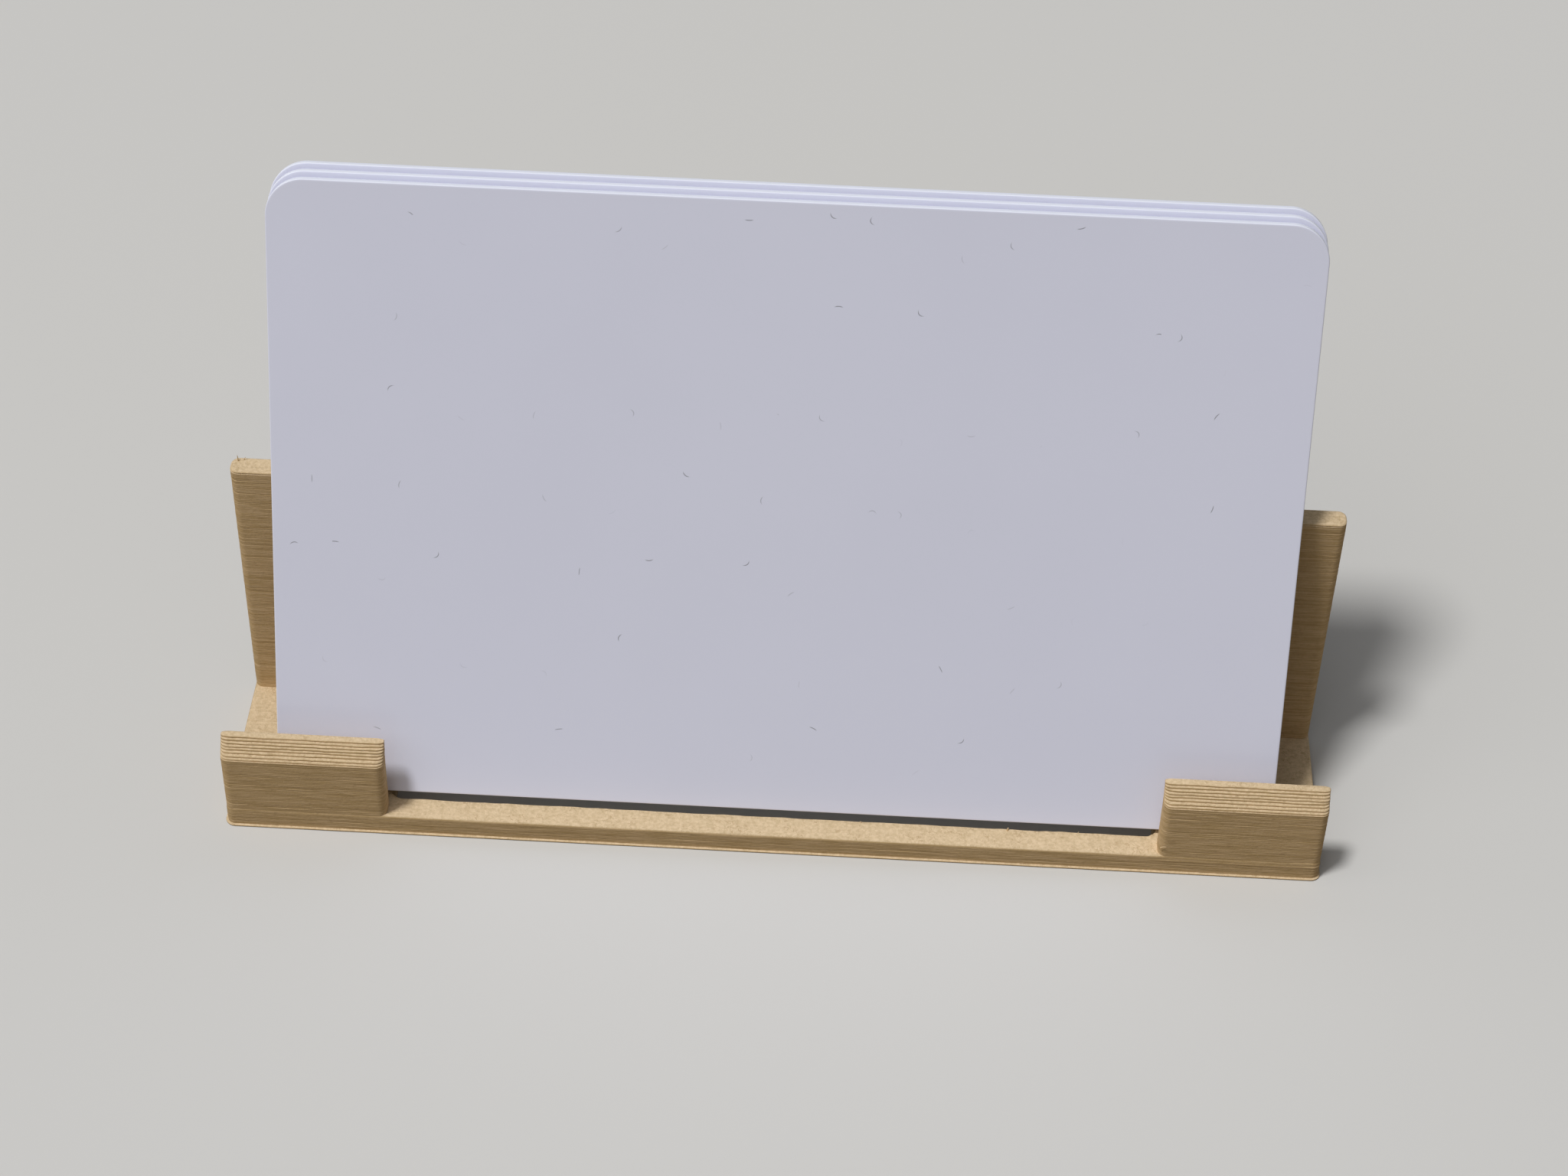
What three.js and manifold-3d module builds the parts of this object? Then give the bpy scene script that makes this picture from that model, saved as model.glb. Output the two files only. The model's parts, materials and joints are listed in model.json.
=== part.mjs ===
// Desk stand for plastic cards: one printed frame with two front lips and two rear posts,
// and blank cards that stand on its side rails and lean back against the posts.
// Millimetres. +X runs along the cards, +Y to the back, +Z up.
import * as THREE from "three";
import { mergeVertices } from "three/addons/utils/BufferGeometryUtils.js";
import Module from "manifold-3d";

const wasm = await Module();
wasm.setup();

// Cards
const cardWidth = 85.6;
const cardHeight = 53.98;
const cardThickness = 0.76;
const cardCornerRadius = 3.18;
const cardNames = ["front_card", "middle_card", "rear_card"];
const cardGap = 0.3; // air between one card and the next
const seatGap = 0.3; // clearance of a card to the lip, rail or post that it meets

// Printed frame
const sideMargin = 4.25; // how far the frame stands out past each end of a card
const floorThickness = 2.0;
const barDepth = 2.2; // front bar, and the lips that stand on it
const slotDepth = 12.9; // clear room between lips and posts
const postThickness = 2.0; // rear bar, and the posts that stand on it
const endLength = 14.0; // lips, side rails and posts, measured along the cards
const lipHeight = 9.4; // from the table
const lipChamfer = 1.6; // 45 degree slope on the lip's front edge
const postHeight = 27.2; // from the table
const uprightRadius = 0.7; // rounding of every upright edge
const windowRadius = 1.1; // corners of the opening in the floor

// Round corners: straight steps in each, and the most of a wall that one may take
const uprightSegments = 5;
const windowSegments = 6;
const cardSegments = 12;
const largestRounding = 0.45;

// Places that follow from the sizes above
const frameWidth = cardWidth + 2 * sideMargin;
const postFront = barDepth + slotDepth;
const frameDepth = postFront + postThickness;

// The cards' lower rear edges stand on the rails, the first one just behind the lips.
const footY = barDepth + seatGap + cardThickness;
const footZ = floorThickness + seatGap;
const cardPitch = cardThickness + cardGap;

// The lean at which the last card's back just clears the upper front edge of the posts.
const reachY = postFront - footY;
const reachZ = postHeight - footZ;
const stackBehindFirst = (cardNames.length - 1) * cardPitch + seatGap;
const leanAngle = Math.acos(stackBehindFirst / Math.hypot(reachY, reachZ)) - Math.atan2(reachZ, reachY);

// Every card stands on the same rails, so the step along the table is a little over the pitch.
const footStep = cardPitch / Math.cos(leanAngle);
const lastFootY = footY + (cardNames.length - 1) * footStep;
const overallDepth = Math.max(frameDepth, lastFootY + cardHeight * Math.sin(leanAngle));

const printedWood = new THREE.MeshStandardMaterial({ color: 0x9c7d55, roughness: 0.85, metalness: 0 });
const whiteCard = new THREE.MeshStandardMaterial({ color: 0xeeeef2, roughness: 0.35, metalness: 0 });

// Points of a rectangle with round corners, counter-clockwise. A thin wall limits its corners.
function roundedRect(x0, y0, x1, y1, radius, segments) {
  const r = Math.min(radius, largestRounding * (x1 - x0), largestRounding * (y1 - y0));
  const centres = [[x1 - r, y0 + r], [x1 - r, y1 - r], [x0 + r, y1 - r], [x0 + r, y0 + r]];
  return centres.flatMap(([x, y], corner) =>
    Array.from({ length: segments + 1 }, (_, step) => {
      const angle = (corner - 1 + step / segments) * (Math.PI / 2);
      return new THREE.Vector2(x + r * Math.cos(angle), y + r * Math.sin(angle));
    }),
  );
}

function plate(shape, thickness) {
  return new THREE.ExtrudeGeometry(shape, { depth: thickness, bevelEnabled: false });
}

// Solid through level rings of equally many points, each given with its height.
function loft(levels) {
  const count = levels[0].ring.length;
  const positions = levels.flatMap(({ ring, z }) => ring.flatMap((p) => [p.x, p.y, z]));
  const indices = [];
  for (let level = 0; level + 1 < levels.length; level++) {
    for (let i = 0; i < count; i++) {
      const a = level * count + i;
      const b = level * count + ((i + 1) % count);
      indices.push(a, b, b + count, a, b + count, a + count);
    }
  }
  const top = (levels.length - 1) * count;
  const cap = (level) => THREE.ShapeUtils.triangulateShape(level.ring, []);
  cap(levels[0]).forEach(([a, b, c]) => indices.push(a, c, b));
  cap(levels.at(-1)).forEach(([a, b, c]) => indices.push(top + a, top + b, top + c));
  const geometry = new THREE.BufferGeometry();
  geometry.setAttribute("position", new THREE.Float32BufferAttribute(positions, 3));
  geometry.setIndex(indices);
  return geometry;
}

function solidOf(geometry) {
  const bare = geometry.clone();
  bare.deleteAttribute("normal");
  bare.deleteAttribute("uv");
  const merged = mergeVertices(bare, 1e-4);
  const vertProperties = new Float32Array(merged.attributes.position.array);
  const triVerts = new Uint32Array(merged.index.array);
  return new wasm.Manifold(new wasm.Mesh({ numProp: 3, vertProperties, triVerts }));
}

function geometryOf(solid) {
  const { vertProperties, triVerts } = solid.getMesh();
  const geometry = new THREE.BufferGeometry();
  geometry.setAttribute("position", new THREE.BufferAttribute(vertProperties, 3));
  geometry.setIndex(new THREE.BufferAttribute(triVerts, 1));
  geometry.computeVertexNormals();
  return geometry;
}

// Floor: a rounded plate with one open window, so a front bar, a rear bar and two side rails are left.
function floorSolid() {
  const half = frameWidth / 2;
  const outline = new THREE.Shape(roundedRect(-half, 0, half, frameDepth, uprightRadius, uprightSegments));
  const open = half - endLength;
  outline.holes.push(
    new THREE.Path(roundedRect(-open, barDepth, open, postFront, windowRadius, windowSegments)),
  );
  return solidOf(plate(outline, floorThickness));
}

// One end of the frame, from its inner to its outer side, for the lips and posts that stand there.
function endSpan(side) {
  const outer = (side * frameWidth) / 2;
  const inner = outer - side * endLength;
  return [Math.min(inner, outer), Math.max(inner, outer)];
}

// Lip: upright block whose front edge slopes back, with the round ends kept all the way up the slope.
function lipSolid(side) {
  const [x0, x1] = endSpan(side);
  const section = (front) => roundedRect(x0, front, x1, barDepth, uprightRadius, uprightSegments);
  const levels = [
    { ring: section(0), z: floorThickness / 2 },
    { ring: section(0), z: lipHeight - lipChamfer },
    { ring: section(lipChamfer), z: lipHeight },
  ];
  return solidOf(loft(levels));
}

function postSolid(side) {
  const [x0, x1] = endSpan(side);
  const ring = roundedRect(x0, postFront, x1, frameDepth, uprightRadius, uprightSegments);
  const levels = [
    { ring, z: floorThickness / 2 },
    { ring, z: postHeight },
  ];
  return solidOf(loft(levels));
}

function makeFrame() {
  let solid = floorSolid();
  for (const side of [-1, 1]) {
    solid = solid.add(lipSolid(side)).add(postSolid(side));
  }
  const mesh = new THREE.Mesh(geometryOf(solid), printedWood);
  mesh.name = "holder_frame";
  return mesh;
}

// A card in its own frame: lower rear edge on the X axis, back face at y = 0.
function cardGeometry() {
  const half = cardWidth / 2;
  const outline = new THREE.Shape(roundedRect(-half, 0, half, cardHeight, cardCornerRadius, cardSegments));
  return plate(outline, cardThickness).rotateX(Math.PI / 2);
}

function makeCards() {
  const stack = new THREE.Group();
  stack.position.set(0, footY, footZ);
  cardNames.forEach((name, index) => {
    const mesh = new THREE.Mesh(cardGeometry(), whiteCard);
    mesh.name = name;
    mesh.position.y = index * footStep;
    mesh.rotation.x = -leanAngle;
    stack.add(mesh);
  });
  return stack;
}

// The origin lies on the table, under the middle of the whole stand with its cards.
const stand = new THREE.Group();
stand.position.y = -overallDepth / 2;
stand.add(makeFrame(), makeCards());

const cardHolder = new THREE.Group();
cardHolder.add(stand);

export default cardHolder;
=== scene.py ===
"""Looks of a small printed desk stand and the blank plastic cards that lean in it.

Lengths are in metres. +X runs along the cards, +Y to the back and +Z up.
"""
import json
import logging
import math
from collections.abc import Callable
from dataclasses import dataclass
from enum import Enum

import bmesh
import bpy
from mathutils import Matrix, Vector, noise


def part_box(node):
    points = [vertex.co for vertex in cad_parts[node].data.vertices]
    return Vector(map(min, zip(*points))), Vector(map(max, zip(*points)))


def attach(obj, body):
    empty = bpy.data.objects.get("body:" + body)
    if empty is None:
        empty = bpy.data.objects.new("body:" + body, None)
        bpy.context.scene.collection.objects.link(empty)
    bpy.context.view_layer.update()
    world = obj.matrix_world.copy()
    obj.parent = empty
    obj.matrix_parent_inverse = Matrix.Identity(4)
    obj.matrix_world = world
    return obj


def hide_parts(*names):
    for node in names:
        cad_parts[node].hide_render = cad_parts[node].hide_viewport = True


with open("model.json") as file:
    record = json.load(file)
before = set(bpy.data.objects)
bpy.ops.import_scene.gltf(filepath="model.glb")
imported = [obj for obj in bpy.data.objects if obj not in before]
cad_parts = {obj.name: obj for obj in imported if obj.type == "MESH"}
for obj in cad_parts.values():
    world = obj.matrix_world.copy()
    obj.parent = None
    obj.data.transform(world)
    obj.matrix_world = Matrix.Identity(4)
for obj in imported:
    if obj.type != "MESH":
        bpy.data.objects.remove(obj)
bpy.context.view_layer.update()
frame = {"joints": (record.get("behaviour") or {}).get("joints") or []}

Colour = tuple[float, float, float, float]
Range = tuple[float, float]
Triple = tuple[float, float, float]
Socket = bpy.types.NodeSocket
VertexTest = Callable[[bmesh.types.BMVert], bool]
EdgeTest = Callable[[bmesh.types.BMEdge], bool]
FaceTest = Callable[[bmesh.types.BMFace], bool]

LOG = logging.getLogger("card_stand")
MM = 0.001
LAYER = 0.2 * MM  # height of one printed layer
NEAR = 1e-6  # lengths below this count as none
UP = Vector((0.0, 0.0, 1.0))
UNIT: Range = (0.0, 1.0)
FALLING: Range = (1.0, 0.0)
MIDDLE: Range = (0.3, 0.7)  # where most values of a noise texture lie


class Pick(Enum):
    """What an edit-mode selection is made of."""

    VERTEX = "VERT"
    EDGE = "EDGE"
    FACE = "FACE"


@dataclass(frozen=True)
class Rect:
    """Level rectangle, in metres."""

    x0: float
    y0: float
    x1: float
    y1: float

    @property
    def centre(self) -> Vector:
        """Middle of the rectangle, at height zero."""
        return Vector(((self.x0 + self.x1) / 2, (self.y0 + self.y1) / 2, 0.0))

    @property
    def size(self) -> Vector:
        """Extent along X and Y, with one as the third number."""
        return Vector((self.x1 - self.x0, self.y1 - self.y0, 1.0))

    def inset(self, distance: float, front: float = 0.0) -> "Rect":
        """Smaller rectangle.

        Args:
            distance: how far every side moves in.
            front: how much further the front side moves back.

        Returns:
            The new rectangle.
        """
        return Rect(
            self.x0 + distance,
            self.y0 + distance + front,
            self.x1 - distance,
            self.y1 - distance,
        )


class Bench:
    """One mesh object on the bench, shaped by edit-mode operators."""

    def __init__(self, name: str) -> None:
        """Start with no mesh.

        Args:
            name: name of the finished object.
        """
        self.name = name
        self.object: bpy.types.Object | None = None

    @staticmethod
    def clear_selection() -> None:
        """Leave edit mode and deselect every object."""
        if bpy.context.object and bpy.context.object.mode != "OBJECT":
            bpy.ops.object.mode_set(mode="OBJECT")
        bpy.ops.object.select_all(action="DESELECT")

    def activate(self) -> None:
        """Make this object the only selected one."""
        self.clear_selection()
        self.object.select_set(True)
        bpy.context.view_layer.objects.active = self.object

    def adopt(self) -> "Bench":
        """Take the object that an operator has just made, and name it.

        Returns:
            This bench.
        """
        self.object = bpy.context.object
        self.object.name = self.name
        self.object.data.name = self.name
        return self

    def plane(self, rect: Rect, height: float) -> "Bench":
        """Add a level plane.

        Args:
            rect: where it lies.
            height: its Z.

        Returns:
            This bench.
        """
        self.clear_selection()
        bpy.ops.mesh.primitive_plane_add(size=1.0, location=rect.centre + height * UP)
        self.adopt()
        self.object.scale = rect.size
        bpy.ops.object.transform_apply(location=True, rotation=True, scale=True)
        return self

    def disc(self, place: Vector, radius: float, sides: int) -> "Bench":
        """Add a level disc.

        Args:
            place: its middle.
            radius: of its rim.
            sides: number of its corners.

        Returns:
            This bench.
        """
        self.clear_selection()
        bpy.ops.mesh.primitive_circle_add(
            vertices=sides,
            radius=radius,
            fill_type="NGON",
            location=place,
        )
        self.adopt()
        bpy.ops.object.transform_apply(location=True, rotation=True, scale=True)
        return self

    def mirrored(self, name: str) -> "Bench":
        """Copy this mesh to the other end of the stand.

        Args:
            name: name of the copy.

        Returns:
            The bench that holds the copy, with its faces turned outwards again.
        """
        self.activate()
        bpy.ops.object.duplicate()
        twin = Bench(name).adopt()
        twin.edit()
        bpy.ops.mesh.select_all(action="SELECT")
        bpy.ops.transform.resize(value=(-1.0, 1.0, 1.0), center_override=(0.0, 0.0, 0.0))
        twin.face_out()
        return twin

    def edit(self) -> bmesh.types.BMesh:
        """Enter edit mode if needed.

        Returns:
            The mesh being edited.
        """
        if self.object.mode != "EDIT":
            self.activate()
            bpy.ops.object.mode_set(mode="EDIT")
        return bmesh.from_edit_mesh(self.object.data)

    def pick(self, kind: Pick, test: VertexTest | EdgeTest | FaceTest) -> int:
        """Select the vertices, edges or faces that pass a test, and nothing else.

        Args:
            kind: what is selected.
            test: which of them.

        Returns:
            How many were selected.
        """
        self.edit()
        bpy.ops.mesh.select_mode(type=kind.value)
        bpy.ops.mesh.select_all(action="DESELECT")
        mesh = self.edit()
        parts = {Pick.VERTEX: mesh.verts, Pick.EDGE: mesh.edges, Pick.FACE: mesh.faces}[kind]
        chosen = [part for part in parts if test(part)]
        for part in chosen:
            part.select_set(True)
        mesh.select_flush_mode()
        bmesh.update_edit_mesh(self.object.data)
        return len(chosen)

    def pick_all(self, kind: Pick) -> None:
        """Select all the vertices, edges or faces."""
        self.pick(kind, lambda part: True)

    def round_corners(self, radius: float, segments: int) -> None:
        """Round every corner of a flat outline.

        Args:
            radius: of each corner.
            segments: straight steps in each corner.
        """
        self.pick(Pick.VERTEX, lambda vertex: len(vertex.link_edges) == 2)
        bpy.ops.mesh.bevel(
            offset=radius,
            segments=segments,
            affect="VERTICES",
            offset_type="OFFSET",
            clamp_overlap=False,
        )

    def cut_sides(self, along_x: int, along_y: int, shortest: float) -> None:
        """Add points along the straight sides of a flat outline.

        Args:
            along_x: cuts in each side that runs along X.
            along_y: cuts in each side that runs along Y.
            shortest: sides shorter than this belong to a round corner.
        """
        for axis, cuts in ((0, along_x), (1, along_y)):
            def straight(edge: bmesh.types.BMEdge) -> bool:
                """Whether an edge is a straight side along this axis."""
                step = edge.verts[1].co - edge.verts[0].co
                return abs(step[axis]) > shortest and abs(step[1 - axis]) < NEAR

            self.pick(Pick.EDGE, straight)
            bpy.ops.mesh.subdivide(number_cuts=cuts)

    def extrude(self, rise: float) -> None:
        """Extrude the selected region straight up by a height in metres."""
        self.edit()
        bpy.ops.mesh.extrude_region_move(TRANSFORM_OT_translate={"value": (0.0, 0.0, rise)})

    def extrude_to(self, rise: float, old: Rect, new: Rect) -> None:
        """Extrude the selected top face up and fit it to another rectangle.

        Args:
            rise: height of the step.
            old: rectangle of the face now.
            new: rectangle that it takes.
        """
        self.extrude(rise)
        scale = (new.size.x / old.size.x, new.size.y / old.size.y, 1.0)
        bpy.ops.transform.resize(value=scale, center_override=old.centre)
        bpy.ops.transform.translate(value=new.centre - old.centre)

    def cut_uprights(self, spans: int, top: float) -> None:
        """Divide the upright edges of the walls into equal spans.

        Args:
            spans: number of spans, a product of factors that the operator can cut at once.
            top: Z of the walls' upper end.
        """
        most_at_once = 100

        def upright(edge: bmesh.types.BMEdge) -> bool:
            """Whether an edge is upright and lies within the walls."""
            first, second = (vertex.co.z for vertex in edge.verts)
            return abs(first - second) > NEAR and max(first, second) < top + NEAR

        while spans > 1:
            factor = max(n for n in range(1, most_at_once + 1) if spans % n == 0)
            self.pick(Pick.EDGE, upright)
            bpy.ops.mesh.subdivide(number_cuts=factor - 1)
            spans //= factor

    def face_out(self) -> None:
        """Turn every face outwards."""
        self.edit()
        bpy.ops.mesh.select_all(action="SELECT")
        bpy.ops.mesh.normals_make_consistent(inside=False)

    def swell(self, distance: float, test: VertexTest) -> None:
        """Move wall points along their own normals.

        Args:
            distance: outwards, in metres.
            test: which points.
        """
        if self.pick(Pick.VERTEX, test):
            bpy.ops.transform.shrink_fatten(value=distance)

    def finish(self) -> bpy.types.Object:
        """Leave edit mode and return the object."""
        self.activate()
        return self.object

    def unite(self, others: list["Bench"]) -> None:
        """Fuse other closed meshes into this one and remove them.

        Args:
            others: benches whose objects are fused.
        """
        for other in others:
            other.finish()
            self.activate()
            cut = self.object.modifiers.new("unite", "BOOLEAN")
            cut.operation = "UNION"
            cut.solver = "MANIFOLD"
            cut.object = other.object
            bpy.ops.object.modifier_apply(modifier=cut.name)
            bpy.data.objects.remove(other.object)

    def shade(self, degrees: float) -> None:
        """Shade smooth, with edges sharper than an angle kept crisp.

        Args:
            degrees: the angle.
        """
        self.activate()
        bpy.ops.object.shade_smooth_by_angle(angle=math.radians(degrees))


@dataclass(frozen=True)
class Grain:
    """One noise texture: its repeats per metre on the level and upwards, and its finer octaves."""

    level: float
    upward: float
    octaves: float
    roughness: float = 0.5


class Paint:
    """Node tree of one material, built step by step."""

    def __init__(self, name: str) -> None:
        """Make the material with its surface shader.

        Args:
            name: name of the material.
        """
        self.material = bpy.data.materials.new(name)
        self.material.use_nodes = True
        self.tree = self.material.node_tree
        self.shader = self.tree.nodes["Principled BSDF"]

    def node(
        self, kind: str, values: dict[str, float | Triple] | None = None, **settings: object
    ) -> bpy.types.Node:
        """Add a node.

        Args:
            kind: its Blender type, without the ShaderNode prefix.
            values: what its inputs hold, by their names.
            settings: its properties.

        Returns:
            The node.
        """
        made = self.tree.nodes.new("ShaderNode" + kind)
        for key, setting in settings.items():
            setattr(made, key, setting)
        for name, value in (values or {}).items():
            made.inputs[name].default_value = value
        return made

    def link(self, source: Socket, target: Socket) -> None:
        """Join two sockets."""
        self.tree.links.new(source, target)

    def place(self, scale: Triple, lean: float = 0.0) -> Socket:
        """Object coordinates, turned and scaled.

        Args:
            scale: repeats per metre along each axis.
            lean: angle about X, in radians.

        Returns:
            The vector output.
        """
        source = self.node("TexCoord")
        turned = self.node("Mapping", {"Rotation": (lean, 0.0, 0.0)}, vector_type="POINT")
        scaled = self.node("Mapping", {"Scale": scale}, vector_type="POINT")
        self.link(source.outputs["Object"], turned.inputs["Vector"])
        self.link(turned.outputs["Vector"], scaled.inputs["Vector"])
        return scaled.outputs["Vector"]

    def grain(self, kind: Grain) -> Socket:
        """Noise between about 0 and 1 on the object's coordinates.

        Args:
            kind: its scale and octaves.

        Returns:
            The factor output.
        """
        values = {"Scale": 1.0, "Detail": kind.octaves, "Roughness": kind.roughness}
        made = self.node("TexNoise", values, noise_dimensions="3D")
        self.link(self.place((kind.level, kind.level, kind.upward)), made.inputs["Vector"])
        return made.outputs["Fac"]

    def remap(self, value: Socket, source: Range, target: Range = UNIT, smooth: bool = True) -> Socket:
        """Map a range of values to another one, with the ends held.

        Args:
            value: the input.
            source: its range.
            target: what the two ends of that range become.
            smooth: whether the ends ease in and out.

        Returns:
            The mapped output.
        """
        easing = "SMOOTHSTEP" if smooth else "LINEAR"
        values = dict(zip(("From Min", "From Max", "To Min", "To Max"), (*source, *target)))
        made = self.node("MapRange", values, interpolation_type=easing, clamp=True)
        self.link(value, made.inputs["Value"])
        return made.outputs["Result"]

    def math(self, operation: str, first: Socket, second: Socket | float = 0.0) -> Socket:
        """Work out one number.

        Args:
            operation: the Math node's operation.
            first: an output.
            second: an output or a plain number, where the operation takes two.

        Returns:
            The result.
        """
        made = self.node("Math", operation=operation)
        self.link(first, made.inputs[0])
        if isinstance(second, float):
            made.inputs[1].default_value = second
        else:
            self.link(second, made.inputs[1])
        return made.outputs[0]

    def product(self, first: Socket, *others: Socket | float) -> Socket:
        """Multiply numbers.

        Args:
            first: an output.
            others: outputs or plain numbers.

        Returns:
            The product.
        """
        for other in others:
            first = self.math("MULTIPLY", first, other)
        return first

    def weigh(self, outputs: tuple[Socket, ...], shares: tuple[float, ...]) -> Socket:
        """Add up outputs by their shares.

        Args:
            outputs: what is added.
            shares: how much of each.

        Returns:
            The sum.
        """
        total, *terms = (self.product(output, share) for output, share in zip(outputs, shares))
        for term in terms:
            total = self.math("ADD", total, term)
        return total

    def blend(self, factor: Socket, first: Socket | Colour, second: Socket | Colour) -> Socket:
        """Mix two colours.

        Args:
            factor: share of the second colour.
            first: an output or a plain colour.
            second: an output or a plain colour.

        Returns:
            The mixed colour.
        """
        made = self.node("Mix", data_type="RGBA", blend_type="MIX")
        # A Mix node lists the sockets of every data type, so its colours go by number.
        factor_in, first_in, second_in, mixed_out = 0, 6, 7, 2
        self.link(factor, made.inputs[factor_in])
        for number, colour in ((first_in, first), (second_in, second)):
            if isinstance(colour, tuple):
                made.inputs[number].default_value = colour
            else:
                self.link(colour, made.inputs[number])
        return made.outputs[mixed_out]

    def facing(self, direction: Vector) -> Socket:
        """How far the surface faces a fixed direction.

        Args:
            direction: unit vector.

        Returns:
            One where it faces that way, zero at a right angle to it.
        """
        surface = self.node("NewGeometry")
        made = self.node("VectorMath", operation="DOT_PRODUCT")
        self.link(surface.outputs["Normal"], made.inputs[0])
        made.inputs[1].default_value = direction
        return made.outputs["Value"]

    def bump(self, height: Socket, distance: float, under: Socket | None = None) -> Socket:
        """Bend the surface normal by a height.

        Args:
            height: values between 0 and 1.
            distance: height of 1, in metres.
            under: normal that this one adds to.

        Returns:
            The normal output.
        """
        made = self.node("Bump", {"Strength": 1.0, "Distance": distance})
        self.link(height, made.inputs["Height"])
        if under is not None:
            self.link(under, made.inputs["Normal"])
        return made.outputs["Normal"]


@dataclass(frozen=True)
class PrintedWoodFinish:
    """Wood-filled filament off the printer: deep tan walls, paler grainy tops and dark layer lines;
    walls and tops differ by painted light and shade from above, and the lines are painted shade in the
    grooves.
    """

    # The walls' deeper colours and the tops' paler ones are painted shade and painted light from above;
    # each pair spans a random tone.
    wall: Colour = (0.465, 0.312, 0.139, 1.0)
    wall_light: Colour = (0.652, 0.463, 0.257, 1.0)
    top: Colour = (0.575, 0.426, 0.246, 1.0)
    top_light: Colour = (0.765, 0.582, 0.372, 1.0)
    # Painted shade in the grooves between layers.
    groove_shade: Colour = (0.355, 0.230, 0.102, 1.0)
    fleck: Colour = (0.400, 0.265, 0.130, 1.0)
    roughness: Range = (0.78, 0.92)
    specular: float = 0.25

    # Threads and streaks run along the layers, crumbs and pits are alike in every direction.
    thread: Grain = Grain(150.0, 1.9 / LAYER, 1.0)
    streak: Grain = Grain(480.0, 1.5 / LAYER, 3.0, 0.6)
    crumb: Grain = Grain(3300.0, 3300.0, 3.0, 0.65)
    pit: Grain = Grain(1500.0, 1500.0, 2.0)

    # Share of threads, streaks and crumbs in a wall's tone, and the noise values that span the colours.
    tone_shares: Triple = (0.35, 0.5, 0.15)
    wall_span: Range = (0.36, 0.64)
    top_span: Range = (0.24, 0.76)
    fleck_span: Range = (0.62, 0.76)
    fleck_share: float = 0.45

    # How far a face looks up where it turns from the deeper wall colours to the paler top colours,
    # painted light from above.
    tread_span: Range = (0.4, 0.92)

    # Painted shade in the grooves between layers: half its width, and its strength.
    groove_shade_width: float = 0.25 * LAYER
    groove_shade_strength: Range = (0.05, 0.45)

    # Fibres follow one level of the pits, and show where the streaks are high.
    fibre_level: float = 0.5
    fibre_width: float = 0.03
    fibre_span: Range = (0.50, 0.62)
    fibre_share: float = 0.6
    fibres_on_walls: float = 0.3

    # Relief. The grit is weaker on walls than on tops.
    grit_height: float = 0.08 * MM
    grit_on_walls: float = 0.35
    streak_height: float = 0.02 * MM
    path_height: float = 0.012 * MM
    path_width: float = 0.42 * MM
    path_waver: float = 2.0

    def material(self) -> bpy.types.Material:
        """Build the material: tones with painted light on tops and painted shade on walls, painted
        shade in the grooves, flecks and fibres, then gloss and relief.

        Returns:
            The material.
        """
        paint = Paint("printed_wood")
        shader = paint.shader
        tread = paint.remap(paint.facing(UP), self.tread_span)
        thread = paint.grain(self.thread)
        streak = paint.grain(self.streak)
        crumb = paint.grain(self.crumb)
        pit = paint.grain(self.pit)

        tone = paint.weigh((thread, streak, crumb), self.tone_shares)
        wall = paint.blend(paint.remap(tone, self.wall_span), self.wall, self.wall_light)
        top = paint.blend(paint.remap(crumb, self.top_span), self.top, self.top_light)
        flecks = paint.remap(pit, self.fleck_span, (0.0, self.fleck_share))
        # Faces that look up take the paler top colours, painted light from above; walls and bead
        # undersides keep the deeper ones, painted shade.
        colour = paint.blend(tread, wall, top)
        # Darken the grooves between layers with painted shade, broken along each layer.
        colour = paint.blend(self.painted_groove_shade(paint, tread, streak), colour, self.groove_shade)
        colour = paint.blend(flecks, colour, self.fleck)
        colour = paint.blend(self.fibres(paint, tread, pit, streak), colour, self.fleck)
        paint.link(colour, shader.inputs["Base Color"])
        paint.link(paint.remap(crumb, MIDDLE, self.roughness), shader.inputs["Roughness"])
        shader.inputs["Specular IOR Level"].default_value = self.specular

        grit = paint.product(crumb, paint.remap(tread, UNIT, (self.grit_on_walls, 1.0)))
        normal = paint.bump(grit, self.grit_height)
        normal = paint.bump(streak, self.streak_height, under=normal)
        normal = paint.bump(self.top_paths(paint, tread), self.path_height, under=normal)
        paint.link(normal, shader.inputs["Normal"])
        return paint.material

    def painted_groove_shade(self, paint: Paint, tread: Socket, streak: Socket) -> Socket:
        """Painted shade in the grooves between layers, broken along their length.

        Args:
            paint: the material's nodes.
            tread: one on level faces, zero on walls.
            streak: noise along the layers.

        Returns:
            Strength of the painted groove shade, zero on level faces.
        """
        split = paint.node("SeparateXYZ")
        paint.link(paint.place((1.0, 1.0, 1.0)), split.inputs["Vector"])
        away = paint.math("PINGPONG", split.outputs["Z"], LAYER / 2)
        groove_shade = paint.remap(away, (0.0, self.groove_shade_width), FALLING)
        broken = paint.remap(streak, MIDDLE, self.groove_shade_strength)
        return paint.product(groove_shade, broken, paint.remap(tread, UNIT, FALLING))

    def fibres(self, paint: Paint, tread: Socket, pit: Socket, streak: Socket) -> Socket:
        """Thin bent wood fibres that show here and there, mostly on level faces.

        Args:
            paint: the material's nodes.
            tread: one on level faces, zero on walls.
            pit: noise whose middle level draws the fibres.
            streak: noise that breaks them up.

        Returns:
            Strength of the fibres.
        """
        away = paint.math("ABSOLUTE", paint.math("SUBTRACT", pit, self.fibre_level))
        thin = paint.remap(away, (0.0, self.fibre_width), FALLING)
        shown = paint.remap(streak, self.fibre_span, (0.0, self.fibre_share))
        return paint.product(thin, shown, paint.remap(tread, UNIT, (self.fibres_on_walls, 1.0)))

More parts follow.
